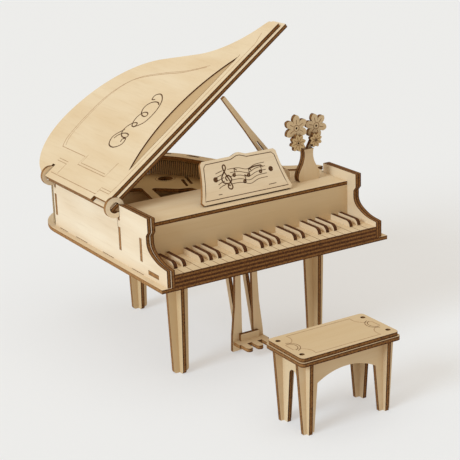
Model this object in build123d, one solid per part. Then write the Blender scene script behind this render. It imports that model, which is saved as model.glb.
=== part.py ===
"""A press-together plywood grand piano with a propped lid, and its bench.

Every piece is cut from one thickness of plywood.  The piano is drawn with x
from the bass side to the treble side, y from the keys to the tail and z up
from the floor.  At the end everything is moved so that the origin is the
centre of the whole model's footprint, on the floor.  Millimetres throughout.
"""
from build123d import *
from math import atan2, cos, degrees, hypot, radians, sin
import os

# ---------------------------------------------------------------- driving sizes
PLY = 2.0                    # thickness of every board
CASE_WIDTH = 133.0           # base board, bass edge to treble edge
LEG_HEIGHT = 56.7            # floor to the underside of the base board
OVERHANG = 3.3               # base board beyond the walls
TOE_SETBACK = 0.6            # base board beyond the cheeks' toes
WALL_HEIGHT = 24.0           # walls above the base board
CHEEK_HEIGHT = 30.0          # cheeks above the base board
CLEARANCE = 0.3              # gap between pieces that move past each other

BASE_TOP = LEG_HEIGHT + PLY
WALL_TOP = BASE_TOP + WALL_HEIGHT
SHELF_TOP = WALL_TOP + 1.0
SHELF_BOTTOM = SHELF_TOP - PLY

# Plan of the base board: the treble side runs back, turns in, swings out of
# the turn along the bentside, goes round the tail and back to the bass side.
BEND_START = 53.1
HIP_RADIUS, HIP_TURN = 9.6, 68
WAIST_RADIUS, WAIST_TURN = 49.5, -48
TAIL_RADIUS, TAIL_TURN = 58.0, 70
CORNER_RADIUS, CORNER_TURN = 35.6, 90

# Places along the case, from the front edge
FALLBOARD_Y = 24.3
CHEEK_NOTCH_Y = 19.6
CHEEK_FRONT_Y = 17.7
CHEEK_BACK_Y = 45.7
FRONT_CROSS_Y = 46.0
SHELF_JOINT_Y = 47.0
SHELF_BACK_Y = 59.6
REAR_CROSS_Y = 119.0
CURVED_WALL_Y = 122.6        # where the bass wall hands over to the curved wall

# Lid and its hinge
LID_OPEN = 36.2              # degrees above level
HINGE_X, HINGE_Z = 1.1, BASE_TOP + 29.0
RING_OUTER, RING_INNER = 5.2, 2.8
LID_LEFT = 2.6               # lid beyond the hinge line
LID_INSET = -0.5             # lid inside the base board's outline
LID_RIGHT = 131.0            # lid's straight treble edge
LID_STEP = 2.2               # upper lid board inside the lower one
TONGUE = 2.1                 # half width of what turns inside a ring

# Lid prop, in the plane just in front of the lid's edge
PROP_X, PROP_Z = 99.5, SHELF_TOP + 3.6
PROP_LENGTH, PROP_LEAN = 57.0, 126.7
PIN_RADIUS = 1.0

# Keyboard
WHITE_KEYS = 24
BLACK_KEY_GROUPS = ((1, 2), (4, 5, 6), (8, 9), (11, 12, 13), (15, 16), (18, 19, 20), (22, 23))

# Bench
BENCH_X, BENCH_Y = 58.8, -54.7
BENCH_LONG, BENCH_SHORT = 56.0, 30.2
BENCH_HEIGHT = 39.7
LEG_GAP_X, LEG_GAP_Y = 43.8, 18.5

OUTER_LEFT = OVERHANG
INNER_LEFT = OUTER_LEFT + PLY
CHEEK_LEFT = INNER_LEFT + PLY
OUTER_RIGHT = CASE_WIDTH - OVERHANG
INNER_RIGHT = OUTER_RIGHT - PLY
CHEEK_RIGHT = INNER_RIGHT - PLY
KEY_PITCH = (CHEEK_RIGHT - CHEEK_LEFT) / WHITE_KEYS

PARTS = {}


# ---------------------------------------------------------------- board helpers
def block(x0, x1, y0, y1, z0, z1):
    """A box between two corners."""
    middle = Pos((x0 + x1) / 2, (y0 + y1) / 2, (z0 + z1) / 2)
    return middle * Box(x1 - x0, y1 - y0, z1 - z0)


def rounded(points, radius):
    """A polygon with every corner rounded."""
    face = make_face(Polyline(*points, close=True))
    return fillet(face.vertices(), radius)


def level(sketch, bottom, thickness=PLY):
    """A board lying level, drawn in x and y."""
    return Pos(0, 0, bottom) * extrude(sketch, thickness)


def lengthwise(sketch, left, thickness=PLY):
    """A board standing along the piano, drawn in y and z."""
    return Pos(left, 0, 0) * extrude(Plane.YZ * sketch, thickness)


def crosswise(sketch, front, thickness=PLY):
    """A board standing across the piano, drawn in x and z."""
    return Pos(0, front, 0) * extrude(Plane.XZ * sketch, -thickness)


def add(name, shape):
    PARTS[name] = shape


# ---------------------------------------------------------------- case outline
def turn_shift(radius, start, turn):
    """How far x and y move along an arc that starts at a heading."""
    side = 1 if turn > 0 else -1
    end = start + turn
    dx = side * radius * (sin(radians(end)) - sin(radians(start)))
    dy = side * radius * (cos(radians(start)) - cos(radians(end)))
    return dx, dy


BENDS = ((HIP_RADIUS, HIP_TURN), (WAIST_RADIUS, WAIST_TURN),
         (TAIL_RADIUS, TAIL_TURN), (CORNER_RADIUS, CORNER_TURN))
BENTSIDE_HEADING = 90 + HIP_TURN + WAIST_TURN


def bentside_run():
    """The straight stretch that brings the bass edge to x = 0."""
    x, heading = CASE_WIDTH, 90
    for radius, turn in BENDS:
        x += turn_shift(radius, heading, turn)[0]
        heading += turn
    return x / -cos(radians(BENTSIDE_HEADING))


def curved_side(inset, swell=0.0):
    """Edges from the treble side round the tail to the bass side.

    inset is how far inside the base board's edge they run, and swell moves
    the bass edge out by itself.
    """
    x, y, heading = CASE_WIDTH - inset, BEND_START, 90
    edges = []
    for index, (base_radius, turn) in enumerate(BENDS):
        side = 1 if turn > 0 else -1
        radius = base_radius - side * inset
        if index == len(BENDS) - 1:
            radius += swell
        if index == 2:
            run = bentside_run()
            end = (x + run * cos(radians(heading)), y + run * sin(radians(heading)))
            edges.append(Line((x, y), end))
            x, y = end
        centre = (x - side * radius * sin(radians(heading)), y + side * radius * cos(radians(heading)))
        edges.append(CenterArc(centre, radius, heading - side * 90, turn))
        dx, dy = turn_shift(radius, heading, turn)
        x, y, heading = x + dx, y + dy, heading + turn
    return edges, (x, y)


def case_plan(inset, front, swell=0.0):
    """The closed plan of a board that follows the case's outline."""
    edges, (x, y) = curved_side(inset, swell)
    right = CASE_WIDTH - inset
    closing = [(x, y), (x, front), (right, front)]
    if front < BEND_START:
        closing.append((right, BEND_START))
    edges.append(Polyline(*closing))
    return make_face(Curve() + edges)


# ---------------------------------------------------------------- case
LEFT_TAB_SPANS = ((23.8, 36.0), (55.1, 67.1), (84.7, 97.6), (108.0, 117.0))
TAB_Z = (BASE_TOP + 6.6, BASE_TOP + 18.5)


def cheek_profile(front_shift, back):
    """Side of a cheek: toe, hollow curve, step and square top."""
    shift = TOE_SETBACK + front_shift
    toe_top = BASE_TOP + 8.5
    notch_low, notch_high = BASE_TOP + 17.2, BASE_TOP + 21.0
    top = BASE_TOP + CHEEK_HEIGHT
    notch = CHEEK_NOTCH_Y + front_shift
    face_y = CHEEK_FRONT_Y + front_shift
    lines = [
        Line((shift, BASE_TOP), (shift, toe_top)),
        Spline((shift, toe_top), (shift + 6.6, BASE_TOP + 9.2), (shift + 14.6, BASE_TOP + 12.0),
               (notch, notch_low), tangents=((1, 0.12), (0.18, 1))),
        Polyline((notch, notch_low), (notch, notch_high), (face_y, BASE_TOP + 23.0), (face_y, top),
                 (back, top), (back, BASE_TOP), (shift, BASE_TOP)),
    ]
    return make_face(Curve() + lines)


def side_wall(left, length):
    """An outer wall: a cheek in front and a lower wall behind it."""
    wall = lengthwise(cheek_profile(0, CHEEK_BACK_Y), left)
    behind = block(left, left + PLY, CHEEK_BACK_Y, length, BASE_TOP, WALL_TOP)
    return wall + behind


def base_tabs(left, spans):
    tabs = [block(left, left + PLY, low, high, LEG_HEIGHT, BASE_TOP) for low, high in spans]
    return tabs


def cheek_tabs(front, z0, z1, thickness=PLY):
    """The two ends of a cross piece, where they pass through both cheeks."""
    return [block(OUTER_LEFT, CHEEK_LEFT, front, front + thickness, z0, z1),
            block(CHEEK_RIGHT, OUTER_RIGHT, front, front + thickness, z0, z1)]


def hook(front, right_end):
    """A hinge hook: an open ring on an arm that reaches over the bass wall."""
    ring = Pos(HINGE_X, HINGE_Z) * (Circle(RING_OUTER) - Circle(RING_INNER))
    mouth = Pos(HINGE_X, HINGE_Z) * Rot(0, 0, -12) * Pos(RING_OUTER, 0) * Rectangle(2 * RING_OUTER, 4.0)
    arm_low = WALL_TOP - 2.0
    arm = Pos((right_end + OVERHANG) / 2, arm_low + 1.6) * Rectangle(right_end - OVERHANG, 3.2)
    clear = Pos(HINGE_X, HINGE_Z) * Circle(RING_INNER)
    return crosswise(ring - mouth + arm - clear, front)


def make_case():
    left_wall = side_wall(OUTER_LEFT, CURVED_WALL_Y)
    left_cheek = lengthwise(cheek_profile(-TOE_SETBACK, CHEEK_BACK_Y), INNER_LEFT)
    right_wall = side_wall(INNER_RIGHT, BEND_START)
    right_cheek = lengthwise(cheek_profile(-TOE_SETBACK, CHEEK_BACK_Y), CHEEK_RIGHT)

    inside = case_plan(OVERHANG + PLY, TOE_SETBACK)
    ring_plan = case_plan(OVERHANG, BEND_START) - case_plan(OVERHANG + PLY, BEND_START - 1)
    wall_zone = block(-5, CASE_WIDTH + 5, CURVED_WALL_Y, 200, 0, 200)
    wall_zone += block(CASE_WIDTH / 3, CASE_WIDTH + 5, BEND_START, 200, 0, 200)
    curved_wall = level(ring_plan, BASE_TOP, WALL_HEIGHT) & wall_zone

    # Cross walls, tabbed through the side walls
    front_cross = block(INNER_LEFT, INNER_RIGHT, FRONT_CROSS_Y, FRONT_CROSS_Y + PLY, BASE_TOP, SHELF_BOTTOM)
    front_tabs = [block(OUTER_LEFT, INNER_LEFT, FRONT_CROSS_Y, FRONT_CROSS_Y + PLY, *TAB_Z),
                  block(INNER_RIGHT, OUTER_RIGHT, FRONT_CROSS_Y, FRONT_CROSS_Y + PLY, *TAB_Z)]
    rear_cross = level(inside, BASE_TOP, SOUNDBOARD_Z - BASE_TOP)
    rear_cross &= block(0, CASE_WIDTH, REAR_CROSS_Y, REAR_CROSS_Y + PLY, 0, 200)
    rear_post = block(INNER_LEFT, INNER_LEFT + 5.0, REAR_CROSS_Y, REAR_CROSS_Y + PLY, BASE_TOP, WALL_TOP)
    rear_tabs = [block(OUTER_LEFT, INNER_LEFT, REAR_CROSS_Y, REAR_CROSS_Y + PLY, *TAB_Z)]
    front_cross += hook(FRONT_CROSS_Y, INNER_LEFT + 2.0)
    rear_cross += rear_post
    rear_cross += hook(REAR_CROSS_Y, INNER_LEFT + 2.0)
    for tab in front_tabs:
        front_cross += tab
    for tab in rear_tabs:
        rear_cross += tab
    left_wall -= front_cross
    left_wall -= rear_cross
    right_wall -= front_cross

    # Key bed, keys' board and fallboard, between the inner cheeks
    bed_depth = CHEEK_BACK_Y
    layers = []
    for name, z0, y1 in (("key_bed_lower_board", BASE_TOP, bed_depth),
                         ("key_bed_upper_board", BASE_TOP + PLY, bed_depth),
                         ("white_key_board", BASE_TOP + 2 * PLY, FALLBOARD_Y + PLY)):
        layers.append((name, block(CHEEK_LEFT, CHEEK_RIGHT, 0.0, y1, z0, z0 + PLY)))
    fallboard = block(CHEEK_LEFT, CHEEK_RIGHT, FALLBOARD_Y, FALLBOARD_Y + PLY,
                      BASE_TOP + 3 * PLY, SHELF_BOTTOM)
    bed_tab_z = BASE_TOP + PLY
    bed_tabs = cheek_tabs(8.6, bed_tab_z, bed_tab_z + PLY, 10.2)
    fall_tabs = cheek_tabs(FALLBOARD_Y, *TAB_Z)
    for tab in fall_tabs:
        fallboard += tab
    for name, layer in layers:
        if name == "key_bed_upper_board":
            for tab in bed_tabs:
                layer += tab
        add(name, layer)
    for tab in bed_tabs + fall_tabs:
        left_wall -= tab
        left_cheek -= tab
        right_wall -= tab
        right_cheek -= tab
    add("fallboard", fallboard)

    # Shelf over the keys, and the strip behind it
    shelf = block(CHEEK_LEFT, CHEEK_RIGHT, FALLBOARD_Y, SHELF_JOINT_Y, SHELF_BOTTOM, SHELF_TOP)
    strip = level(inside, SHELF_BOTTOM) & block(0, CASE_WIDTH, SHELF_JOINT_Y, SHELF_BACK_Y, 0, 200)
    strip -= hook(FRONT_CROSS_Y, INNER_LEFT + 2.0)
    shelf_tab_y = (32.0, 40.0)
    for x0, x1 in ((INNER_LEFT, CHEEK_LEFT), (CHEEK_RIGHT, INNER_RIGHT)):
        tab = block(x0, x1, *shelf_tab_y, SHELF_BOTTOM, SHELF_TOP)
        shelf += tab
        left_cheek -= tab
        right_cheek -= tab

    # Rim on the curved wall, with the wall's tabs through it
    rim_plan = case_plan(OVERHANG - 1.0, BEND_START) - case_plan(OVERHANG + 6.0, BEND_START - 1)
    rim_zone = block(-5, CASE_WIDTH + 5, CURVED_WALL_Y, 200, 0, 200)
    rim_zone += block(CASE_WIDTH / 3, CASE_WIDTH + 5, BEND_START, 200, 0, 200)
    rim = (level(rim_plan, WALL_TOP) & rim_zone) - strip
    rim_tabs = level(ring_plan, WALL_TOP) & rim_tab_zones()
    curved_wall += rim_tabs
    rim -= rim_tabs

    # Base board with the slots for every tab
    base = level(case_plan(0, 0), LEG_HEIGHT)
    for wall_left, spans in ((OUTER_LEFT, LEFT_TAB_SPANS), (INNER_RIGHT, LEFT_TAB_SPANS[:1])):
        for tab in base_tabs(wall_left, spans):
            base -= tab
            if wall_left == OUTER_LEFT:
                left_wall += tab
            else:
                right_wall += tab

    add("left_side_wall", left_wall)
    add("left_inner_cheek", left_cheek)
    add("right_side_wall", right_wall)
    add("right_inner_cheek", right_cheek)
    add("curved_side_wall", curved_wall)
    add("front_cross_wall", front_cross)
    add("rear_cross_wall", rear_cross)
    add("top_shelf", shelf)
    add("pin_block_strip", strip)
    add("rim_board", rim)
    add("base_board", base)


def rim_tab_zones():
    """Where the curved wall's tabs come up through the rim."""
    zones = block(0, CASE_WIDTH, 110.6, 118.2, 0, 200) & block(60, CASE_WIDTH, 0, 200, 0, 200)
    zones += block(80, CASE_WIDTH, 127.0, 132.6, 0, 200)
    zones += block(96, CASE_WIDTH, 84.0, 91.0, 0, 200)
    zones += block(50, 57, 140, 200, 0, 200)
    zones += block(20, 27, 140, 200, 0, 200)
    return zones


SOUNDBOARD_Z = BASE_TOP + 12.0


def make_soundboard():
    """The plate inside the case, with its round hole, slots and openings."""
    plate = level(case_plan(OVERHANG + PLY, TOE_SETBACK), SOUNDBOARD_Z)
    plate &= block(0, CASE_WIDTH, SHELF_BACK_Y, 200, 0, 200)
    plate -= block(0, INNER_LEFT + 5.0, REAR_CROSS_Y, REAR_CROSS_Y + PLY, 0, 200)
    thick = PLY + 2
    right_opening = rounded(((46.5, 68), (55.8, 111.0), (61.5, 105.5), (67.5, 99.5), (74, 97), (78, 68)), 2)
    left_opening = rounded(((14, 68), (41.5, 68), (52, 114), (40, 121), (14, 110)), 2)
    hole = Pos(71.5, 122) * Circle(4.3)
    for cut in (right_opening, left_opening, hole):
        plate -= level(cut, SOUNDBOARD_Z - 1, thick)
    for start, end in (((78.5, 103.2), (83.4, 122.7)), ((73.9, 101.4), (78.0, 114.5))):
        slot = Pos((start[0] + end[0]) / 2, (start[1] + end[1]) / 2) * Rot(0, 0, 72) * SlotOverall(
            hypot(end[0] - start[0], end[1] - start[1]), 1.6)
        plate -= level(slot, SOUNDBOARD_Z - 1, thick)
    add("soundboard", plate)


# ---------------------------------------------------------------- keys
def make_black_keys():
    """Upright boards between the white keys, rounded at their front ends."""
    front, top = 7.8, 3.0
    low = BASE_TOP + 3 * PLY
    profile = make_face(Curve() + [
        Line((front, low), (FALLBOARD_Y, low)),
        Line((FALLBOARD_Y, low), (FALLBOARD_Y, low + top)),
        Line((FALLBOARD_Y, low + top), (front + top, low + top)),
        ThreePointArc((front + top, low + top), (front + 0.88, low + 2.12), (front, low)),
    ])
    for number, group in enumerate(BLACK_KEY_GROUPS, start=1):
        keys = [lengthwise(profile, CHEEK_LEFT + place * KEY_PITCH - PLY / 2) for place in group]
        add(f"black_keys_group_{number}", Compound(children=keys))


# ---------------------------------------------------------------- lid
def opened(shape, angle=LID_OPEN):
    """Turn a shape drawn with the lid level about the hinge line."""
    hinge = Pos(HINGE_X, 0, HINGE_Z)
    return hinge * Rot(0, -angle, 0) * hinge.inverse() * shape


def make_lid():
    swell = LID_INSET - HINGE_X + LID_LEFT
    front = FRONT_CROSS_Y + PLY + CLEARANCE
    ring_slot = (REAR_CROSS_Y - 0.4, REAR_CROSS_Y + PLY + 0.4)
    slot_end = HINGE_X + RING_OUTER + 0.4
    left = HINGE_X - LID_LEFT

    lower = level(case_plan(LID_INSET, front, swell), HINGE_Z - PLY / 2)
    lower &= block(left - 5, LID_RIGHT, 0, 200, 0, 200)
    tongue = block(HINGE_X - TONGUE, HINGE_X + TONGUE, FRONT_CROSS_Y + 0.1, front,
                   HINGE_Z - PLY / 2, HINGE_Z + PLY / 2)
    lower += tongue
    lower -= block(left - 5, HINGE_X - TONGUE, *ring_slot, 0, 200)
    lower -= block(HINGE_X + TONGUE, slot_end, *ring_slot, 0, 200)

    upper_inset = LID_INSET + LID_STEP
    upper_front = front + LID_STEP
    upper = level(case_plan(upper_inset, upper_front, swell + LID_STEP), HINGE_Z + PLY / 2)
    upper &= block(left - 5, LID_RIGHT - LID_STEP, 0, 200, 0, 200)
    upper -= block(left - 5, HINGE_X - 0.2, 0, 64.5, 0, 200)
    upper -= block(left - 5, slot_end, *ring_slot, 0, 200)
    leaf_front, leaf_back, leaf_depth = 56.6, 67.0, 0.8
    leaf_left, leaf_right = 20.6, 103.2
    leaf = make_face(Curve() + [
        Line((leaf_left, leaf_front), (leaf_right, leaf_front)),
        ThreePointArc((leaf_right, leaf_front), ((leaf_left + leaf_right) / 2, leaf_back),
                      (leaf_left, leaf_front)),
    ])
    upper -= level(leaf, HINGE_Z + 1.5 * PLY - leaf_depth)

    add("lid_lower_board", opened(lower))
    add("lid_upper_board", opened(upper))


def make_prop():
    """A flat stick on a pivot, with a slit up the middle of its wide end."""
    tip, narrow, wide, foot = 1.0, 1.5, 2.5, 3.3
    blade = make_face(Polyline((0, -foot + 0.3), (14, -wide), (34, -narrow), (PROP_LENGTH, -tip),
                               (PROP_LENGTH, tip), (34, narrow), (14, wide), (0, foot - 0.3), close=True))
    blade += Circle(foot)
    blade -= Circle(PIN_RADIUS + 0.15)
    blade -= Pos(18, 0) * SlotOverall(14, 0.8)
    placed = Pos(PROP_X, PROP_Z) * Rot(0, 0, PROP_LEAN) * blade
    add("lid_prop", crosswise(placed, FRONT_CROSS_Y))

    bracket_front = FRONT_CROSS_Y - CLEARANCE - PLY
    bracket = Pos(PROP_X, SHELF_TOP + 1.8) * Rectangle(2 * foot, 3.6) + Pos(PROP_X, PROP_Z) * Circle(foot)
    bracket -= Pos(PROP_X, PROP_Z) * Circle(PIN_RADIUS)
    add("prop_bracket", crosswise(bracket, bracket_front))
    pin = Pos(PROP_X, PROP_Z) * Circle(PIN_RADIUS)
    add("prop_pivot_pin", crosswise(pin, bracket_front, 2 * PLY + CLEARANCE))


# ---------------------------------------------------------------- music stand
STAND_LEAN = 25.0
STAND_Y = 30.0
STAND_LEFT, STAND_RIGHT = 41.6, 95.2


def make_music_stand():
    """The leaning score board and the two feet that hold it up."""
    middle = (STAND_LEFT + STAND_RIGHT) / 2
    half, narrow, height = (STAND_RIGHT - STAND_LEFT) / 2, 22.6, 21.8
    crown, shoulder, corner = 1.5, 4.6, 1.3
    side = [(half, 1.4), (narrow + 1.5, 10.5), (narrow, height - corner)]
    curve = []
    for way in (1, -1):
        flank = [(way * x, z) for x, z in side]
        curve += [
            Polyline((0, 0), (way * (half - 1.0), 0), flank[0]),
            Spline(*flank),
            Polyline(flank[-1], (way * (narrow - corner), height), (way * shoulder, height + 0.1),
                     (way * 0.7, height + crown), (0, height + crown)),
        ]
    board = make_face(Curve() + curve)
    tilt = Pos(middle, STAND_Y, SHELF_TOP) * Rot(-STAND_LEAN, 0, 0)
    lift = PLY * sin(radians(STAND_LEAN))
    add("music_stand", Pos(0, 0, lift) * tilt * crosswise(board, 0))

    back_y = STAND_Y + PLY * cos(radians(STAND_LEAN))
    lean = sin(radians(STAND_LEAN)) / cos(radians(STAND_LEAN))
    foot_height, foot_depth = 12.0, 12.5
    profile = make_face(Polyline((back_y, SHELF_TOP), (back_y + foot_depth, SHELF_TOP),
                                 (back_y + foot_depth, SHELF_TOP + 1.5),
                                 (back_y + lean * foot_height + 1.0, SHELF_TOP + foot_height),
                                 (back_y + lean * foot_height, SHELF_TOP + foot_height), close=True))
    for name, x in (("music_stand_left_foot", middle - 14.0), ("music_stand_right_foot", middle + 12.0)):
        add(name, lengthwise(profile, x))


# ---------------------------------------------------------------- vase of flowers
VASE_X, VASE_Y = 110.9, 37.4


def flower(radius, petals, turn, hole):
    """Pointed petals about a pierced middle."""
    root, half_width = radius * 0.25, radius * 0.72 / petals ** 0.5
    petal = make_face(Curve() + [
        ThreePointArc((root, 0), (radius * 0.62, half_width), (radius, 0)),
        ThreePointArc((radius, 0), (radius * 0.62, -half_width), (root, 0)),
    ])
    shape = Circle(radius * 0.44)
    for index in range(petals):
        shape += Rot(0, 0, 360 / petals * index + turn) * petal
    return shape - Circle(hole)


def make_vase():
    """Two glued layers, the back one carrying the stems, and four flower heads."""
    half = [(0, 5.9), (1.6, 6.6), (5.0, 6.1), (9.0, 3.9), (13.0, 2.7), (17.0, 3.1)]
    right = [(VASE_X + w, SHELF_TOP + z) for z, w in half]
    left = [(VASE_X - w, SHELF_TOP + z) for z, w in reversed(half)]
    body = make_face(Curve() + [Spline(*right), Line(right[-1], left[0]), Spline(*left),
                                Line(left[-1], right[0])])
    front, stem_layer, back = VASE_Y, VASE_Y + PLY, VASE_Y + 2 * PLY
    heads = (("flower_left", 103.4, 54.2, 7.0, 6, 30, front), ("flower_right", 118.6, 52.4, 6.8, 6, 44, back),
             ("flower_low_left", 103.1, 46.7, 4.6, 8, 10, front - PLY),
             ("flower_low_right", 115.5, 46.0, 3.9, 8, 20, front))
    stems = body
    for name, x, z, radius, petals, turn, head_front in heads:
        head = Pos(x, BASE_TOP + z) * flower(radius, petals, turn, 0.6)
        add(name, crosswise(head, head_front))
        if head_front >= front:
            root = Vector(VASE_X, SHELF_TOP + 14.0)
            across = Vector(x, BASE_TOP + z) - root
            reach = across.length - radius * 0.6
            lean = degrees(atan2(across.Y, across.X))
            stems += Pos(root.X, root.Y) * Rot(0, 0, lean) * Pos(reach / 2, 0) * Rectangle(reach, 1.9)
    add("vase_front_layer", crosswise(body, front))
    add("vase_stem_layer", crosswise(stems, stem_layer))


# ---------------------------------------------------------------- legs and pedals
LEGS = (("front_left", 25.0, 31.0), ("front_right", 108.0, 31.0), ("rear", 51.2, 122.9))
LEG_TOP_HALF, LEG_FOOT_HALF = 6.2, 4.3


def leg_outline(centre):
    """One tapered board of a leg, with rounded corners at the foot."""
    low = [(centre - LEG_FOOT_HALF, 0), (centre + LEG_FOOT_HALF, 0)]
    face = make_face(Polyline(*low, (centre + LEG_TOP_HALF, LEG_HEIGHT),
                              (centre - LEG_TOP_HALF, LEG_HEIGHT), close=True))
    return fillet(face.vertices().sort_by(Axis.Y)[:2], 1.6)


def make_legs():
    """Two boards crossed by half laps make each leg."""
    half = PLY / 2
    lap = LEG_HEIGHT / 2
    base = PARTS["base_board"]
    for name, x, y in LEGS:
        across = crosswise(leg_outline(x), y - half)
        along = lengthwise(leg_outline(y), x - half)
        crossing = (x - half, x + half, y - half, y + half)
        across -= block(*crossing, lap, LEG_HEIGHT)
        along -= block(*crossing, 0, lap)
        tab = block(x - half, x + half, y - 3.5, y + 3.5, LEG_HEIGHT, BASE_TOP)
        along += tab
        base -= tab
        add(f"leg_{name}_cross_board", across)
        add(f"leg_{name}_long_board", along)
    PARTS["base_board"] = base


LYRE_X, LYRE_Y = 67.9, 34.0


def make_lyre():
    """Two posts with raking stays, a block between them and the pedals."""
    foot = 1.0
    outline = [(3.4, LEG_HEIGHT), (6.8, LEG_HEIGHT), (6.8, 40.0), (7.4, 26.0), (9.2, 10.0), (9.6, foot),
               (3.6, foot)]
    bar_low, bar_high = 6.6, 10.4
    pedal_low = bar_low - PLY
    for name, side in (("lyre_left_post", -1), ("lyre_right_post", 1)):
        points = [(LYRE_X + side * x, z) for x, z in outline]
        add(name, crosswise(make_face(Polyline(*points, close=True)), LYRE_Y))
    back = LYRE_Y + PLY
    stay = make_face(Polyline((back, 9.0), (back, 15.0), (back + 9.5, LEG_HEIGHT),
                              (back + 13.0, LEG_HEIGHT), (back + 1.4, 9.0), close=True))
    for name, side in (("lyre_left_stay", -1), ("lyre_right_stay", 1)):
        add(name, lengthwise(stay, LYRE_X + side * 5.2 - PLY / 2))
    bar_half = 3.6 + 2.0
    add("lyre_cross_block", block(LYRE_X - bar_half, LYRE_X + bar_half, LYRE_Y - PLY, LYRE_Y,
                                  bar_low, bar_high))
    board = Pos(LYRE_X, LYRE_Y - 3.0) * Rectangle(18.0, 6.0)
    for offset in (-6.4, 0.0, 6.4):
        board += Pos(LYRE_X + offset, LYRE_Y - 8.4) * Rot(0, 0, 90) * SlotOverall(9.0, 3.6)
    add("pedal_board", level(board, pedal_low))


# ---------------------------------------------------------------- bench
def make_bench():
    """Two seat layers on two long frames crossed by two short ones."""
    frame_top = BENCH_HEIGHT - 2 * PLY
    for name, size, bottom in (("bench_seat_lower_board", 0.0, frame_top),
                               ("bench_seat_upper_board", 1.4, frame_top + PLY)):
        plan = Pos(BENCH_X, BENCH_Y) * RectangleRounded(BENCH_LONG - size, BENCH_SHORT - size, 2.2)
        seat = level(plan, bottom)
        if size:
            for dx, dy in ((1, 1), (1, -1), (-1, 1), (-1, -1)):
                hole = Pos(BENCH_X + dx * 24.3, BENCH_Y + dy * 9.6) * Circle(1.25)
                seat -= level(hole, bottom)
        add(name, seat)

    half = PLY / 2
    lap = frame_top / 2
    spring_z, crown_z = 23.8, 28.3
    inner, inner_foot = LEG_GAP_X / 2 - 5.4, LEG_GAP_X / 2 - 3.2
    outer_top, outer_foot = LEG_GAP_X / 2 + 5.1, LEG_GAP_X / 2 + 2.7
    long_face = make_face(Curve() + [
        Polyline((-inner, spring_z), (-inner_foot, 0), (-outer_foot, 0), (-outer_top, frame_top),
                 (outer_top, frame_top), (outer_foot, 0), (inner_foot, 0), (inner, spring_z)),
        ThreePointArc((inner, spring_z), (0, crown_z), (-inner, spring_z)),
    ])
    short_half = LEG_GAP_Y / 2
    slot_half, slot_foot_half = 2.9, 5.4
    slot_top = 25.3
    short_outer_top, short_outer_foot = short_half + 4.5, short_half + 2.7
    short_face = make_face(Polyline((-short_outer_foot, 0), (-short_outer_top, frame_top),
                                    (short_outer_top, frame_top), (short_outer_foot, 0), close=True))
    gap = make_face(Curve() + [
        Polyline((-slot_half, slot_top), (-slot_foot_half, 0), (slot_foot_half, 0), (slot_half, slot_top)),
        ThreePointArc((slot_half, slot_top), (0, slot_top + slot_half), (-slot_half, slot_top)),
    ])
    short_face -= gap

    long_y = (BENCH_Y - LEG_GAP_Y / 2, BENCH_Y + LEG_GAP_Y / 2)
    short_x = (BENCH_X - LEG_GAP_X / 2, BENCH_X + LEG_GAP_X / 2)
    for name, y in (("bench_front_frame", long_y[0]), ("bench_back_frame", long_y[1])):
        frame = crosswise(Pos(BENCH_X, 0) * long_face, y - half)
        for x in short_x:
            frame -= block(x - half, x + half, y - half, y + half, lap, frame_top)
        add(name, frame)
    for name, x in (("bench_left_frame", short_x[0]), ("bench_right_frame", short_x[1])):
        frame = lengthwise(Pos(BENCH_Y, 0) * short_face, x - half)
        for y in long_y:
            frame -= block(x - half, x + half, y - half, y + half, 0, lap)
        add(name, frame)


# ---------------------------------------------------------------- assembly
make_case()
make_soundboard()
make_black_keys()
make_lid()
make_prop()
make_music_stand()
make_vase()
make_legs()
make_lyre()
make_bench()

boxes = [shape.bounding_box() for shape in PARTS.values()]
LOW = [min(getattr(box.min, axis) for box in boxes) for axis in "XYZ"]
HIGH = [max(getattr(box.max, axis) for box in boxes) for axis in "XYZ"]
CENTRE = ((LOW[0] + HIGH[0]) / 2, (LOW[1] + HIGH[1]) / 2, LOW[2])
SETTLE = Pos(-CENTRE[0], -CENTRE[1], -CENTRE[2])

os.makedirs("parts", exist_ok=True)
for name, shape in PARTS.items():
    export_step(SETTLE * shape, f"parts/{name}.step")
print(len(PARTS), "nodes; centre", [round(v, 3) for v in CENTRE])
print("size", [round(high - low, 2) for low, high in zip(LOW, HIGH)])
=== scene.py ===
"""Looks for the press-together plywood grand piano and its bench.

The boards come from the frame.  This file gives every board its wood, its
charred cut edges and its burnt-in lines, bends the slit wall round the tail,
and lights the model.  Places are millimetres from the front bass corner of
the base board, with heights from the floor, unless a surface says otherwise.
"""

from math import cos, exp, hypot, pi, radians, sin

import bmesh
import bpy
from mathutils import Matrix, Vector


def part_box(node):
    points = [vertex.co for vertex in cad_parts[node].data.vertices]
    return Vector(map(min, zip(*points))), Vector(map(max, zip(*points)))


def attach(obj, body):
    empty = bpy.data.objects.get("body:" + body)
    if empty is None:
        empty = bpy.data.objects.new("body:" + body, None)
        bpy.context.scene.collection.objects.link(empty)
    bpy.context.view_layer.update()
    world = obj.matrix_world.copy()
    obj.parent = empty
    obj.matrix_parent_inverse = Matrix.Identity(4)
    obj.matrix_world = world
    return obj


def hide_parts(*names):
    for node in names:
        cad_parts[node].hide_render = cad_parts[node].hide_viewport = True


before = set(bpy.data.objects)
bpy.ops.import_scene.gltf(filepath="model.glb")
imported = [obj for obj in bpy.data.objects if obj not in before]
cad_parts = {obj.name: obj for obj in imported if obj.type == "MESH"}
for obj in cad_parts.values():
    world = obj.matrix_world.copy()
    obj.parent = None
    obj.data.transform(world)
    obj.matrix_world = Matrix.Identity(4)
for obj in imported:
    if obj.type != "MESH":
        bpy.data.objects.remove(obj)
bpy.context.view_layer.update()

MM = 0.001
PLY = 2.0
LEG_HEIGHT = 56.7
BASE_TOP = LEG_HEIGHT + PLY
WALL_HEIGHT = 24.0
SHELF_TOP = BASE_TOP + WALL_HEIGHT + 1.0
CASE_WIDTH = 133.0
OVERHANG = 3.3
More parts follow.
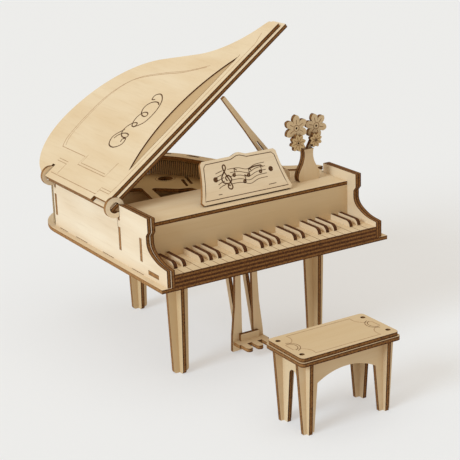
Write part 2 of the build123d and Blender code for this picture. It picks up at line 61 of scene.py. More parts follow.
LID_OPEN = radians(36.2)
HINGE_X = 1.1
HINGE_RISE = 29.0            # hinge axis above the base board
SHELF_Y = 30.0               # foot of the music stand
STAND_X = 68.4               # its middle
STAND_LEAN = radians(25.0)
LINE_RISE = 0.035            # how far a burnt line stands above its board
LINE_SINK = 0.1              # and how far it goes into it
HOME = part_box("base_board")[0] - Vector((0, 0, LEG_HEIGHT * MM))


def at(x, y, z):
    """A place on the piano, in metres."""
    return HOME + Vector((x, y, z)) * MM


# ------------------------------------------------------------ shader writing
class Value:
    """A shader socket that Python's operators turn into Math nodes."""

    def __init__(self, maker, socket):
        self.maker = maker
        self.socket = socket

    def _math(self, operation, *values):
        return self.maker.node("ShaderNodeMath", {"operation": operation}, *values)

    def __add__(self, other):
        return self._math("ADD", self, other)

    def __sub__(self, other):
        return self._math("SUBTRACT", self, other)

    def __mul__(self, other):
        return self._math("MULTIPLY", self, other)

    def __rsub__(self, other):
        return self._math("SUBTRACT", other, self)

    def __abs__(self):
        return self._math("ABSOLUTE", self)

    __radd__ = __add__
    __rmul__ = __mul__

    def larger(self, other):
        return self._math("MAXIMUM", self, other)

    def fade(self, start, end):
        """0 at start and 1 at end, straight between and flat outside."""
        settings = {"clamp": True}
        return self.maker.node("ShaderNodeMapRange", settings, self, start, end, 0.0, 1.0)


class Finish:
    """One material, written as expressions."""

    def __init__(self, name):
        self.material = bpy.data.materials.new(name)
        self.material.use_nodes = True
        self.tree = self.material.node_tree
        self.shader = self.tree.nodes["Principled BSDF"]
        place = self.tree.nodes.new("ShaderNodeTexCoord")
        self.place = Value(self, place.outputs["Object"])
        self.normal = Value(self, place.outputs["Normal"])

    def node(self, kind, settings, *values, output=0):
        """Add a node, set it, then fill its inputs in order, skipping None."""
        node = self.tree.nodes.new(kind)
        for key, value in settings.items():
            setattr(node, key, value)
        for socket, value in zip(node.inputs, values):
            self.feed(socket, value)
        return Value(self, node.outputs[output])

    def feed(self, socket, value):
        if isinstance(value, Value):
            self.tree.links.new(value.socket, socket)
        elif value is not None:
            socket.default_value = value

    def dot(self, vector, direction):
        return self.node("ShaderNodeVectorMath", {"operation": "DOT_PRODUCT"}, vector,
                         tuple(direction), output="Value")

    def stretched(self, scale):
        return self.node("ShaderNodeVectorMath", {"operation": "MULTIPLY"}, self.place, tuple(scale))

    def noise(self, scale, detail=3.0, roughness=0.55):
        """Noise on the board's own coordinates, stretched by a scale vector."""
        return self.node("ShaderNodeTexNoise", {}, self.stretched(scale), None, 1.0, detail, roughness)

    def blend(self, mask, first, second):
        """Mix two colours by a mask."""
        node = self.tree.nodes.new("ShaderNodeMix")
        node.data_type = "RGBA"
        self.feed(node.inputs["Factor"], mask)
        self.feed(node.inputs["A"], first if isinstance(first, Value) else (*first, 1))
        self.feed(node.inputs["B"], second if isinstance(second, Value) else (*second, 1))
        return Value(self, node.outputs["Result"])

    def bump(self, height, strength, distance):
        node = self.tree.nodes.new("ShaderNodeBump")
        node.inputs["Strength"].default_value = strength
        node.inputs["Distance"].default_value = distance
        self.feed(node.inputs["Height"], height)
        return Value(self, node.outputs["Normal"])

    def finish(self, colour, roughness, normal=None):
        self.feed(self.shader.inputs["Base Color"], colour)
        self.feed(self.shader.inputs["Roughness"], roughness)
        self.feed(self.shader.inputs["Normal"], normal)
        self.shader.inputs["Specular IOR Level"].default_value = 0.16
        return self.material


PALE = (0.735, 0.585, 0.405)
WARM = (0.665, 0.49, 0.305)
TAN = (0.53, 0.360, 0.172)
STREAK = (0.50, 0.335, 0.175)
SOOT = (0.034, 0.011, 0.004)
TOAST = (0.140, 0.046, 0.011)
# Painted highlight: the golden tone of cut edges lit from the side.
LIT_EDGE_GOLD = (0.42, 0.21, 0.075)
CORE = (0.29, 0.132, 0.036)
# Sunken faces: partly scorch from the cut, partly painted shade of the sheet above.
RECESS_SCORCH_AND_SHADE = (0.47, 0.30, 0.145)


def grain(finish, along, seed, tan_and_shade):
    """Face colour and its height: soft bands, fine streaks and small flecks."""
    def scale(cross, length):
        per_axis = [length if abs(along[i]) > 0.5 else cross for i in range(3)]
        return [value + seed for value in per_axis]
    bands = finish.noise(scale(90, 9), 2.0, 0.5)
    streaks = finish.noise(scale(900, 38), 4.0, 0.6)
    flecks = finish.noise(scale(2600, 190), 2.0, 0.6)
    pale = [a + (b - a) * tan_and_shade for a, b in zip(PALE, TAN)]
    warm = [a + (b - a) * tan_and_shade for a, b in zip(WARM, TAN)]
    colour = finish.blend(bands.fade(0.3, 0.7) * 0.8, pale, warm)
    colour = finish.blend(streaks.fade(0.52, 0.80) * 0.26, colour, STREAK)
    colour = finish.blend(flecks.fade(0.62, 0.82) * 0.13, colour, STREAK)
    return colour, streaks * 0.6 + flecks * 0.4


def plywood(name, across, along, middle, seed, tan_and_shade, side_light_gilt):
    """Sanded faces and laser-cut edges of one board.

    across is the board's thickness direction, along its grain, and middle
    how far along across its middle plane lies, in metres.  tan darkens the
    sheet, partly as its own tone and partly as painted shade.  gilt turns
    the cut edges that face sideways golden, a painted highlight of light
    falling on them from the side.
    """
    finish = Finish(name)
    facing = abs(finish.dot(finish.normal, across))
    cut = 1.0 - facing.fade(0.55, 0.8)
    depth = abs(finish.dot(finish.place, across) - middle)
    face, height = grain(finish, along, seed, tan_and_shade)

    soot = finish.noise([1300] * 3, 3.0, 0.6)
    burnt = finish.blend(soot.fade(0.35, 0.7), SOOT, TOAST)
    core = (1.0 - depth.fade(0.30 * MM, 0.62 * MM)) * soot.fade(0.2, 0.6) * 0.8
    burnt = finish.blend(core, burnt, CORE)
    # Painted highlight: cut edges that face sideways turn golden, as if lit from the side.
    sideways = abs(finish.dot(finish.normal, (1, 0, 0)))
    burnt = finish.blend(sideways.fade(0.35, 0.95) * soot.fade(0.15, 0.75) * side_light_gilt, burnt, LIT_EDGE_GOLD)
    # Faces sunk to the board's middle plane go darker tan: partly scorch and partly painted shade of the
    # board around them.
    recess_scorch_and_shade = 1.0 - depth.fade(0.5 * MM, 0.6 * MM)
    face = finish.blend(recess_scorch_and_shade * 0.85, face, RECESS_SCORCH_AND_SHADE)

    colour = finish.blend(cut, face, burnt)
    rough = 0.58 + cut * 0.2
    return finish.finish(colour, rough, finish.bump(height, 0.25, 0.06 * MM))


def burnt_line(name, dark, light):
    """The colour of an engraved line."""
    finish = Finish(name)
    soot = finish.noise([900] * 3, 3.0, 0.6)
    return finish.finish(finish.blend(soot.fade(0.3, 0.75), dark, light), 0.8)


# ------------------------------------------------------------ boards
ACROSS = {"X": Vector((1, 0, 0)), "Y": Vector((0, 1, 0)), "Z": Vector((0, 0, 1))}
LID_NORMAL = Vector((-sin(LID_OPEN), 0, cos(LID_OPEN)))
LID_ALONG = Vector((cos(LID_OPEN), 0, sin(LID_OPEN)))
STAND_NORMAL = Vector((0, -cos(STAND_LEAN), sin(STAND_LEAN)))
STAND_UP = Vector((0, sin(STAND_LEAN), cos(STAND_LEAN)))
HINGE = at(HINGE_X, 0, BASE_TOP + HINGE_RISE)
NO_MIDDLE = 1.0              # a middle plane far away, for solid bits


def thinnest(low, high):
    """The axis along which a box is thinnest."""
    size = high - low
    return min("XYZ", key=lambda axis: size["XYZ".index(axis)])


def longest(low, high):
    """The axis along which a box is longest."""
    size = high - low
    return max("XYZ", key=lambda axis: size["XYZ".index(axis)])


# How tan each board's sheet is, by the start of its name; the rest are pale.
# Partly the sheet's own tone and partly painted light: the fallboard,
# soundboard and legs are darker as painted shade, and the music stand and
# left side wall are paler as painted light on faces turned to the lamps.
TAN_AND_SHADE_BY_BOARD = {
    "fallboard": 0.55, "top_shelf": 0.25, "pin_block": 0.25, "rim": 0.3, "soundboard": 1.0,
    "white_key": 0.3, "black_keys": 0.15, "music_stand": -0.15,
    "left_side_wall": -0.35, "right_inner": 0.1, "front_cross": -0.1,
    "lid_upper": 0.15, "lid_prop": 0.4,
    "vase": 0.35, "flower_low": 0.9, "flower": 0.5,
    "leg_": 0.65, "lyre": 0.35, "pedal": 0.35, "bench": 0.42,
}

# How much painted side light turns the cut edges that face sideways golden;
# 1 on boards not named here.
SIDE_LIGHT_GILT = {
    "vase": 0.15, "flower": 0.1, "lyre": 0.5, "bench": 0.25, "leg_": 0.6, "black_keys": 0.0,
    "left_inner": 0.2,
}


def setting(table, node, usual):
    """A board's value in a table, by the start of its name."""
    return next((amount for start, amount in table.items() if node.startswith(start)), usual)


def dress_board(node, number):
    """Work out how a board lies and give it its own plywood."""
    low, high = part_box(node)
    centre = (low + high) / 2
    if node.startswith("lid_lower"):
        across, along, middle = LID_NORMAL, ACROSS["Y"], HINGE.dot(LID_NORMAL)
    elif node.startswith("lid_upper"):
        across, along, middle = LID_NORMAL, ACROSS["Y"], HINGE.dot(LID_NORMAL) + PLY * MM
    elif node == "music_stand":
        across, along, middle = STAND_NORMAL, ACROSS["X"], centre.dot(STAND_NORMAL)
    elif node.startswith("black_keys"):
        across, along, middle = ACROSS["X"], ACROSS["Y"], NO_MIDDLE
    elif node == "prop_pivot_pin":
        across, along, middle = ACROSS["Y"], ACROSS["Y"], NO_MIDDLE
    else:
        axis = thinnest(low, high)
        across = ACROSS[axis]
        along = ACROSS[longest(low, high)]
        middle = centre.dot(across)
        if node in ("left_side_wall", "right_side_wall"):
            along = ACROSS["Y"]
    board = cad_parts[node]
    board.data.materials.clear()
    board.data.materials.append(plywood(f"{node}_wood", across, along, middle, number * 0.37,
                                        setting(TAN_AND_SHADE_BY_BOARD, node, 0.0), setting(SIDE_LIGHT_GILT, node, 1.0)))


for number, node in enumerate(sorted(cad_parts)):
    dress_board(node, number)
LINE = burnt_line("burnt_line", (0.12, 0.055, 0.024), (0.30, 0.155, 0.07))
DEEP_LINE = burnt_line("deep_line", (0.045, 0.018, 0.008), (0.16, 0.075, 0.03))
FAINT_LINE = burnt_line("faint_line", (0.33, 0.19, 0.10), (0.52, 0.34, 0.20))


# ------------------------------------------------------------ burnt-in lines
class Surface:
    """A flat face that lines are drawn on, in millimetres along two directions."""

    def __init__(self, origin, across, up):
        self.origin = origin
        self.across = across.normalized()
        self.up = up.normalized()
        self.out = self.across.cross(self.up)

    def point(self, u, v, rise):
        return self.origin + (self.across * u + self.up * v + self.out * rise) * MM


def stroke(mesh, surface, points, width, closed=False):
    """Sweep a low rectangular bar along points on a surface."""
    count = len(points)
    rings = []
    for index, (u, v) in enumerate(points):
        before = points[index - 1] if index or closed else points[0]
        after = points[(index + 1) % count] if index < count - 1 or closed else points[-1]
        du, dv = after[0] - before[0], after[1] - before[1]
        length = hypot(du, dv) or 1.0
        nu, nv = -dv / length * width / 2, du / length * width / 2
        corners = ((nu, nv, -LINE_SINK), (-nu, -nv, -LINE_SINK), (-nu, -nv, LINE_RISE), (nu, nv, LINE_RISE))
        rings.append([mesh.verts.new(surface.point(u + a, v + b, rise)) for a, b, rise in corners])
    pairs = list(zip(rings, rings[1:]))
    if closed:
        pairs.append((rings[-1], rings[0]))
    else:
        mesh.faces.new(rings[0])
        mesh.faces.new(reversed(rings[-1]))
    for near, far in pairs:
        for side in range(4):
            other = (side + 1) % 4
            mesh.faces.new((near[side], far[side], far[other], near[other]))


def arc(cu, cv, radius, start, end, steps=14):
    """Points along a round arc, angles in degrees."""
    angles = [radians(start + (end - start) * step / steps) for step in range(steps + 1)]
    return [(cu + radius * cos(a), cv + radius * sin(a)) for a in angles]


def smooth(points, steps=8):
    """Points along a soft curve through the ones given."""
    ends = [points[0], *points, points[-1]]
    result = []
    for a, b, c, d in zip(ends, ends[1:], ends[2:], ends[3:]):
        for step in range(steps):
            t = step / steps
            result.append(tuple(0.5 * (2 * b[i] + (c[i] - a[i]) * t
                                       + (2 * a[i] - 5 * b[i] + 4 * c[i] - d[i]) * t * t
                                       + (3 * b[i] - a[i] - 3 * c[i] + d[i]) * t ** 3) for i in (0, 1)))
    return result + [points[-1]]


def box_line(u0, u1, v0, v1):
    """The four corners of an upright rectangle."""
    return [(u0, v0), (u1, v0), (u1, v1), (u0, v1)]


def engrave(name, body, surface, lines, colour=None):
    """One piece holding a board's burnt lines: (points, width, closed)."""
    mesh = bmesh.new()
    for points, width, closed in lines:
        stroke(mesh, surface, points, width, closed)
    bmesh.ops.recalc_face_normals(mesh, faces=mesh.faces)
    data = bpy.data.meshes.new(name)
    mesh.to_mesh(data)
    mesh.free()
    piece = bpy.data.objects.new(name, data)
    bpy.context.collection.objects.link(piece)
    data.materials.append(colour or LINE)
    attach(piece, body)
    return piece


def lid_lines():
    """Stepped border, leaf line and scroll on top of the lid.

    Points are (distance from the hinge up the lid, distance back from the
    front of the base board).
    """
    top = Surface(HINGE + LID_NORMAL * 1.5 * PLY * MM, LID_ALONG, ACROSS["Y"])
    hinge_side = [(0.9, 116.5), (0.9, 64.6), (3.9, 64.6), (3.9, 54.6), (9.0, 54.0)]
    ring_side = [(8.6, 120.5), (8.6, 110.0), (1.6, 110.0)]
    panel = [(16.9, 127.6), (16.9, 100.6), (11.2, 100.6), (11.2, 70.2), (21.2, 69.6)]
    bend = smooth([(16.9, 127.6), (23.6, 131.4), (39.3, 133.2), (56.0, 131.6), (69.4, 122.8), (77.6, 105.0),
                   (83.2, 87.6), (90.5, 73.0)])
    lines = [(line, 0.4, False) for line in (hinge_side, ring_side, panel, bend)]
    lines.append(([(u + 1.5, v + (1.5 if v < 80 else -1.5)) for u, v in panel[1:4]], 0.34, False))
    lines.append(([(u + 1.5, v - 1.5) for u, v in bend], 0.3, False))
    lines.append(([(u + 1.5, v) for u, v in hinge_side[1:4]], 0.34, False))
    lines.append(([(u + 1.5, v) for u, v in ring_side[:2]], 0.34, False))
    lines.append(([(9.0, 54.0), (112.0, 53.2), (119.5, 56.0)], 0.3, False))
    leaf_edge = [([(20.6, 56.6), (103.2, 56.6)], 0.3, False)]
    scroll = [(line, 0.7, False) for line in flourish(33.0, 60.0, 87.0)]
    for name, drawn, colour in (("lid_border_lines", lines, FAINT_LINE), ("lid_leaf_line", leaf_edge, LINE),
                                ("lid_scroll", scroll, DEEP_LINE)):
        engrave(name, "lid", top, drawn, colour)


def flourish(start, end, middle):
    """A plain scroll of looping curls with a curl under each end."""
    turns, samples = 3.5, 130
    curls = []
    for step in range(samples + 1):
        t = step / samples
        swell = 2.2 + 2.6 * abs(cos(pi * t))
        angle = 2 * pi * turns * t
        curls.append((start + (end - start) * t + 3.1 * sin(angle), middle + swell * cos(angle)))
    tail = smooth([(start + 7, middle + 3.0), (start + 1, middle + 7.0), (start - 4, middle + 4.5),
                   (start - 5, middle - 1.0), (start - 2, middle - 5.5), (start + 2, middle - 5.0),
                   (start + 1.5, middle - 2.5), (start - 0.5, middle - 3.0)])
    sweep = smooth([(end - 17, middle - 2.0), (end - 12, middle - 7.0), (end - 4, middle - 7.5),
                    (end + 3, middle - 4.5), (end + 6.5, middle + 1.0), (end + 5, middle + 5.0),
                    (end + 2, middle + 4.5), (end + 2.5, middle + 2.0)])
    return curls, tail, sweep


def key_lines():
    """The gaps between the white keys."""
    low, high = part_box("white_key_board")
    keys = 24
    width = (high.x - low.x) / MM
    depth = (high.y - low.y) / MM - PLY
    top = Surface(Vector((low.x, low.y, high.z)), ACROSS["X"], ACROSS["Y"])
    lines = [([(width / keys * key, 0.0), (width / keys * key, depth)], 0.3, False)
             for key in range(1, keys)]
    lines.append(([(0.1, 0.25), (width - 0.1, 0.25)], 0.5, False))
    engrave("white_key_gaps", "case", top, lines)


def stand_lines():
    """Border, staves, clef, notes and two pegs on the music stand.

    Points are (distance from its middle, height up the board).
    """
    centre = at(STAND_X, SHELF_Y, SHELF_TOP + PLY * sin(STAND_LEAN))
    face = Surface(centre, ACROSS["X"], STAND_UP)
    border = [(-24.8, 1.9), (-23.6, 5.5), (-22.4, 10.5), (-21.0, 18.6), (-19.6, 20.1), (-4.8, 20.3),
              (-1.0, 21.7), (1.0, 21.7), (4.8, 20.3), (19.6, 20.1), (21.0, 18.6), (22.4, 10.5), (23.6, 5.5),
              (24.8, 1.9)]
    lines = [(border, 0.38, True)]
    for row in range(5):
        wave = [(u, 8.1 + row * 1.9 - 1.7 * exp(-((u - 3.2) / 3.6) ** 2)) for u in range(-8, 15)]
        lines.append((smooth(wave[row % 2:], 2), 0.3, False))
    for row in range(5):
        stave_end = [(-15.2, 7.0 + row * 1.9), (-13.2, 7.9 + row * 1.8), (-11.0, 8.4 + row * 1.8)]
        lines.append((stave_end, 0.34, False))
    clef = [(-8.4, 7.4), (-9.6, 7.9), (-9.8, 6.4), (-8.4, 5.6), (-7.4, 6.9), (-8.6, 11.0),
            (-10.2, 15.0), (-10.4, 17.6), (-9.2, 18.2), (-9.0, 16.2), (-12.2, 12.4), (-12.0, 9.6),
            (-9.0, 8.6), (-7.0, 10.4), (-8.2, 12.6), (-10.2, 11.8), (-9.6, 10.0)]
    lines.append((smooth(clef, 5), 0.72, False))
    for u, v in ((-5.0, 12.2), (0.2, 8.0), (3.2, 10.8), (10.6, 11.4)):
        lines.append((arc(u, v, 0.6, 0, 360, 10), 0.85, False))
        lines.append(([(u + 0.8, v), (u + 0.8, v + 3.4)], 0.42, False))
        lines.append(([(u + 0.8, v + 3.4), (u + 2.2, v + 2.2)], 0.5, False))
    lines.append(([(4.0, 13.9), (7.6, 14.6), (11.4, 14.6)], 0.7, False))
    for u in (-16.0, 16.9):
        lines.append((arc(u, 11.7, 0.7, 0, 360, 12), 1.35, False))
    lines.append(([(-16.5, 4.0), (-14.4, 3.9)], 0.35, False))
    lines.append(([(13.5, 4.0), (18.0, 4.1)], 0.35, False))
    engrave("music_stand_engraving", "case", face, lines, DEEP_LINE)


def bench_lines():
    """Double frame on the bench seat, scooped in round the holes at its corners."""
    low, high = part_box("bench_seat_upper_board")
    centre = (low + high) / 2
    top = Surface(Vector((centre.x, centre.y, high.z)), ACROSS["X"], ACROSS["Y"])
    hole_u, hole_v = 24.3, 9.6
    corner = arc(hole_u, hole_v, 6.4, 159, 272, 10)
    half = corner + [(u, -v) for u, v in reversed(corner)]
    engrave("bench_frame_lines", "bench", top, [(half + [(-u, v) for u, v in reversed(half)], 0.4, True)],
            FAINT_LINE)
    brackets = [([(side * u, v) for u, v in arc(24.9, 0, radius, 108, 252, 12)], 0.34, False)
                for side in (-1, 1) for radius in (5.4, 4.2)]
    engrave("bench_bracket_lines", "bench", top, brackets)


def wall_lines():
    """Outlines of the tabs that come through the side walls and the base board.

    Spans are (front, back, low, high) on the wall.
    """
    for side, node, out in (("left", "left_side_wall", -1), ("right", "right_side_wall", 1)):
        low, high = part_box(node)
        x = low.x if out < 0 else high.x
        origin = Vector((x, HOME.y, HOME.z + BASE_TOP * MM))
        up = ACROSS["Z"]
        face = Surface(origin, up.cross(Vector((out, 0, 0))), up)
        turn = face.across.y
        spans = [(24.3, 26.3, 6.6, 18.5), (46.0, 48.0, 6.6, 18.5), (8.6, 18.8, 2.0, 4.0)]
        if side == "left":
            spans.append((119.0, 121.0, 6.6, 18.5))
        lines = [(box_line(turn * y0, turn * y1, z0, z1), 0.28, True) for y0, y1, z0, z1 in spans]
        if side == "left":
            for y0, y1 in ((23.8, 36.0), (55.1, 67.1), (84.7, 97.6), (108.0, 117.0)):
                lines.append(([(turn * y0, 0.1), (turn * y1, 0.1)], 0.35, False))
            lines.append(([(turn * 48.4, 17.5), (turn * 48.4, 21.8)], 0.25, False))
        engrave(f"{side}_wall_tab_lines", "case", face, lines)


def soundboard_lines():
    """The ring round the soundboard's hole."""
    low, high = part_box("soundboard")
    top = Surface(Vector((HOME.x, HOME.y, high.z)), ACROSS["X"], ACROSS["Y"])
    engrave("soundboard_ring", "case", top, [(arc(71.5, 122.0, 5.6, 0, 360, 32)[:-1], 0.35, True)])


def flower_lines():
    """Rings and petal lines burnt into the flower heads."""
    for name, petals, turn in (("flower_left", 6, 30), ("flower_right", 6, 44),
                               ("flower_low_left", 8, 10), ("flower_low_right", 8, 20)):
        low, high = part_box(name)
        centre = (low + high) / 2
        radius = (high.x - low.x) / MM / 2
        face = Surface(Vector((centre.x, low.y, centre.z)), ACROSS["X"], ACROSS["Z"])
        lines = [(arc(0, 0, radius * 0.26, 0, 360, 20)[:-1], 0.32, True)]
        for petal in range(petals):
            angle = radians(360 / petals * petal + turn)
            line = [(radius * reach * cos(angle), radius * reach * sin(angle)) for reach in (0.34, 0.72)]
            lines.append((line, 0.3, False))
        engrave(f"{name}_lines", "case", face, lines)


# ------------------------------------------------------------ slit wall
# Bends of the base board's edge: radius and turn in degrees, to the left when positive.
BENDS = ((9.6, 68), (49.5, -48), (58.0, 70), (35.6, 90))
BEND_START = 53.1            # where the first bend starts, back from the front edge
STRAIGHT_BEND = 2            # the bend that a straight run leads into
STRAIGHT_RUN = 26.1
WALL_END = 124.2             # where the slit wall stops, just short of the left wall
RAIL_LAP = 2.0               # how far the slats stay short of the wall's height
CUT_SIDE = "cut_side"        # face attribute: 1 where a slit was cut


def wall_path(inset, step):
    """Points along the curved wall, inset from the base board's edge, treble side first."""
    x, y, heading = CASE_WIDTH - inset, BEND_START, 90.0
    points = [(x, y)]
    for index, (base_radius, turn) in enumerate(BENDS):
        side = 1 if turn > 0 else -1
        radius = base_radius - side * inset
        if index == STRAIGHT_BEND:
            count = round(STRAIGHT_RUN / step)
            for _ in range(count):
                x += STRAIGHT_RUN / count * cos(radians(heading))
                y += STRAIGHT_RUN / count * sin(radians(heading))
                points.append((x, y))
        count = max(2, round(radius * radians(abs(turn)) / step))
        cx, cy = x - side * radius * sin(radians(heading)), y + side * radius * cos(radians(heading))
        for part in range(1, count + 1):
            angle = radians(heading - side * 90 + turn * part / count)
            points.append((cx + radius * cos(angle), cy + radius * sin(angle)))
        x, y = points[-1]
        heading += turn
    return [(px, py) for px, py in points if px > CASE_WIDTH / 2 or py > WALL_END]


def slit_wall_tree(material):
    """Nodes that set slats along a path and close them with a rail above and below."""
    tree = bpy.data.node_groups.new("slit_wall", "GeometryNodeTree")
    face = tree.interface
    face.new_socket("Path", in_out="INPUT", socket_type="NodeSocketGeometry")
    sizes = {}
    for label, value in (("Slat Pitch", 1.25), ("Slat Width", 0.82), ("Rail Height", 2.2)):
        socket = face.new_socket(label, in_out="INPUT", socket_type="NodeSocketFloat")
        socket.default_value = value * MM
        sizes[label] = socket
    face.new_socket("Wall", in_out="OUTPUT", socket_type="NodeSocketGeometry")

    def node(kind, **settings):
        made = tree.nodes.new(kind)
        for key, value in settings.items():
            setattr(made, key, value)
        return made

    def join(source, target):
        tree.links.new(source, target)

    start, end = node("NodeGroupInput"), node("NodeGroupOutput")
    spaced = node("GeometryNodeResampleCurve", mode="LENGTH")
    join(start.outputs["Path"], spaced.inputs["Curve"])
    join(start.outputs["Slat Pitch"], spaced.inputs["Length"])
    size = node("ShaderNodeCombineXYZ")
    join(start.outputs["Slat Width"], size.inputs["X"])
    size.inputs["Y"].default_value = PLY * MM
    size.inputs["Z"].default_value = (WALL_HEIGHT - RAIL_LAP) * MM
    cube = node("GeometryNodeMeshCube")
    join(size.outputs[0], cube.inputs["Size"])
    parts = node("ShaderNodeSeparateXYZ")
    join(node("GeometryNodeInputNormal").outputs["Normal"], parts.inputs[0])
    sideways = node("ShaderNodeMath", operation="ABSOLUTE")
    join(parts.outputs["X"], sideways.inputs[0])
    slat = node("GeometryNodeStoreNamedAttribute", data_type="FLOAT", domain="FACE")
    slat.inputs["Name"].default_value = CUT_SIDE
    join(cube.outputs["Mesh"], slat.inputs["Geometry"])
    join(sideways.outputs[0], slat.inputs["Value"])
    tangent = node("GeometryNodeInputTangent")
    turn = node("FunctionNodeAlignRotationToVector", axis="X", pivot_axis="Z")
    join(tangent.outputs[0], turn.inputs["Vector"])
    slats = node("GeometryNodeInstanceOnPoints")
    join(spaced.outputs["Curve"], slats.inputs["Points"])
    join(slat.outputs["Geometry"], slats.inputs["Instance"])
    join(turn.outputs["Rotation"], slats.inputs["Rotation"])
    raised = node("GeometryNodeTranslateInstances")
    raised.inputs["Translation"].default_value = (0, 0, WALL_HEIGHT / 2 * MM)
    join(slats.outputs["Instances"], raised.inputs["Instances"])

    everything = node("GeometryNodeJoinGeometry")
    join(raised.outputs["Instances"], everything.inputs["Geometry"])
    profile = node("GeometryNodeCurvePrimitiveQuadrilateral")
    profile.inputs["Width"].default_value = PLY * MM
    join(start.outputs["Rail Height"], profile.inputs["Height"])
    rail = node("GeometryNodeCurveToMesh")
    join(start.outputs["Path"], rail.inputs["Curve"])
    join(profile.outputs["Curve"], rail.inputs["Profile Curve"])
    rail.inputs["Fill Caps"].default_value = True
    half = node("ShaderNodeMath", operation="MULTIPLY")
    half.inputs[1].default_value = 0.5
    join(start.outputs["Rail Height"], half.inputs[0])
    for top in (False, True):
        height = node("ShaderNodeMath", operation="SUBTRACT" if top else "ADD")
        height.inputs[0].default_value = WALL_HEIGHT * MM if top else 0.0
        join(half.outputs[0], height.inputs[1])
        lift = node("ShaderNodeCombineXYZ")
        join(height.outputs[0], lift.inputs["Z"])
        moved = node("GeometryNodeTransform")
        join(rail.outputs["Mesh"], moved.inputs["Geometry"])
        join(lift.outputs[0], moved.inputs["Translation"])
        join(moved.outputs["Geometry"], everything.inputs["Geometry"])
    real = node("GeometryNodeRealizeInstances")
    join(everything.outputs["Geometry"], real.inputs["Geometry"])
    painted = node("GeometryNodeSetMaterial")
    painted.inputs["Material"].default_value = material
    join(real.outputs["Geometry"], painted.inputs["Geometry"])
    join(painted.outputs["Geometry"], end.inputs["Wall"])
    return tree


def slit_wood():
    """Wood between the slits: darkened on both faces as painted shade for the inside of the case, charred
    where it was cut.
    """
    finish = Finish("slit_wall_wood")
    upright = abs(finish.dot(finish.normal, (0, 0, 1)))
    cut_side = finish.node("ShaderNodeAttribute", {"attribute_name": CUT_SIDE}, output="Fac")
    # The 0.9 tan is painted shade: it darkens the wall to the shade inside the case.
    face, height = grain(finish, ACROSS["Z"], 5.0, 0.9)
    soot = finish.noise([1300] * 3, 3.0, 0.6)
    burnt = finish.blend(soot.fade(0.35, 0.7), SOOT, TOAST)
    return finish.finish(finish.blend(upright.fade(0.4, 0.7).larger(cut_side), face, burnt), 0.7,
                         finish.bump(height, 0.25, 0.06 * MM))


def add_slit_wall():
    """Bend the slit wall round the tail, in place of the plain curved board."""
    points = wall_path(OVERHANG + PLY / 2, 1.0)
    curve = bpy.data.curves.new("wall_path", "CURVE")
    curve.dimensions = "3D"
    spline = curve.splines.new("POLY")
    spline.points.add(len(points) - 1)
    for target, (x, y) in zip(spline.points, points):
        target.co = (*at(x, y, BASE_TOP), 1)
    path = bpy.data.objects.new("wall_path", curve)
    bpy.context.collection.objects.link(path)
    modifier = path.modifiers.new("slits", "NODES")
    modifier.node_group = slit_wall_tree(slit_wood())
    bpy.context.view_layer.update()
    evaluated = path.evaluated_get(bpy.context.evaluated_depsgraph_get())
    data = bpy.data.meshes.new_from_object(evaluated)
    bpy.data.objects.remove(path)
    piece = bpy.data.objects.new("slit_wall", data)
    bpy.context.collection.objects.link(piece)
    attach(piece, "case")
    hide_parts("curved_side_wall")


# Tabs of the slit wall: the stretch back from the front edge on the treble
# side, and the left end of each one at the tail.
SIDE_TABS = ((111.0, 118.0), (127.0, 132.6), (84.0, 91.0))
TAIL_TABS = (20.0, 50.0)
TAIL_TAB_WIDTH = 7.0
TREBLE_SIDE = 60.0
TAIL_START = 140.0


def add_wall_tabs():
    """Burnt ends of the wall's tabs, flush with the top of the rim."""
    fine = wall_path(OVERHANG + PLY / 2, 0.5)
    spans = [[(x, y) for x, y in fine if low <= y <= high and x > TREBLE_SIDE]
             for low, high in SIDE_TABS]
    spans += [[(x, y) for x, y in fine if left <= x <= left + TAIL_TAB_WIDTH and y > TAIL_START]
              for left in TAIL_TABS]
    rim_top = Surface(at(0, 0, BASE_TOP + WALL_HEIGHT + PLY), ACROSS["X"], ACROSS["Y"])
    engrave("wall_tab_ends", "case", rim_top, [(span, PLY * 0.92, False) for span in spans], DEEP_LINE)


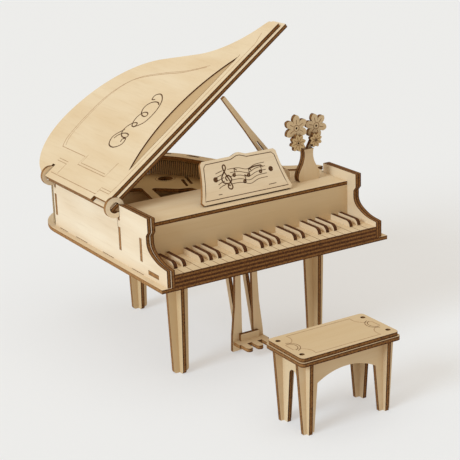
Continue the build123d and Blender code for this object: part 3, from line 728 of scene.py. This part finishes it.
# ------------------------------------------------------------ stage
def add_floor():
    finish = Finish("pale_floor")
    finish.finish((0.42, 0.42, 0.43, 1), 0.9)
    finish.shader.inputs["Emission Color"].default_value = (1.0, 1.0, 1.0, 1)
    finish.shader.inputs["Emission Strength"].default_value = 0.41
    mesh = bmesh.new()
    bmesh.ops.create_circle(mesh, cap_ends=True, radius=8.0, segments=64)
    data = bpy.data.meshes.new("floor")
    mesh.to_mesh(data)
    mesh.free()
    data.materials.append(finish.material)
    floor = bpy.data.objects.new("floor", data)
    bpy.context.collection.objects.link(floor)


def add_sun(name, direction, energy, spread, colour):
    light = bpy.data.lights.new(name, "SUN")
    light.energy = energy
    light.angle = radians(spread)
    light.color = colour
    lamp = bpy.data.objects.new(name, light)
    lamp.rotation_euler = Vector(direction).to_track_quat("-Z", "Y").to_euler()
    bpy.context.collection.objects.link(lamp)


def add_light():
    world = bpy.data.worlds.new("studio")
    bpy.context.scene.world = world
    world.use_nodes = True
    background = world.node_tree.nodes["Background"]
    background.inputs["Color"].default_value = (1.0, 0.90, 0.72, 1)
    background.inputs["Strength"].default_value = 0.55
    add_sun("window", (0.86, 0.16, -0.48), 2.2, 25, (0.70, 0.86, 1.0))
    add_sun("ceiling", (0.05, 0.12, -0.99), 0.75, 70, (1.0, 0.98, 0.93))
    bpy.context.scene.view_settings.view_transform = "Standard"


def add_camera():
    """Looks along the piano from the bass side, a little above it."""
    heading, pitch, roll = radians(31.37), radians(18.13), radians(-2.05)
    forward = Vector((sin(heading) * cos(pitch), cos(heading) * cos(pitch), -sin(pitch)))
    right = Vector((cos(heading), -sin(heading), 0))
    up = right.cross(forward)
    right, up = right * cos(roll) + up * sin(roll), up * cos(roll) - right * sin(roll)
    turned = Matrix((right, up, -forward)).transposed().to_4x4()
    data = bpy.data.cameras.new("camera")
    data.lens = 110.2
    data.sensor_width = 36.0
    data.clip_start = 0.01
    data.clip_end = 50
    camera = bpy.data.objects.new("camera", data)
    camera.matrix_world = Matrix.Translation(at(-293.67, -544.65, 289.63)) @ turned
    bpy.context.collection.objects.link(camera)
    bpy.context.scene.camera = camera


lid_lines()
key_lines()
stand_lines()
bench_lines()
wall_lines()
soundboard_lines()
flower_lines()
add_slit_wall()
add_wall_tabs()
add_floor()
add_light()
add_camera()
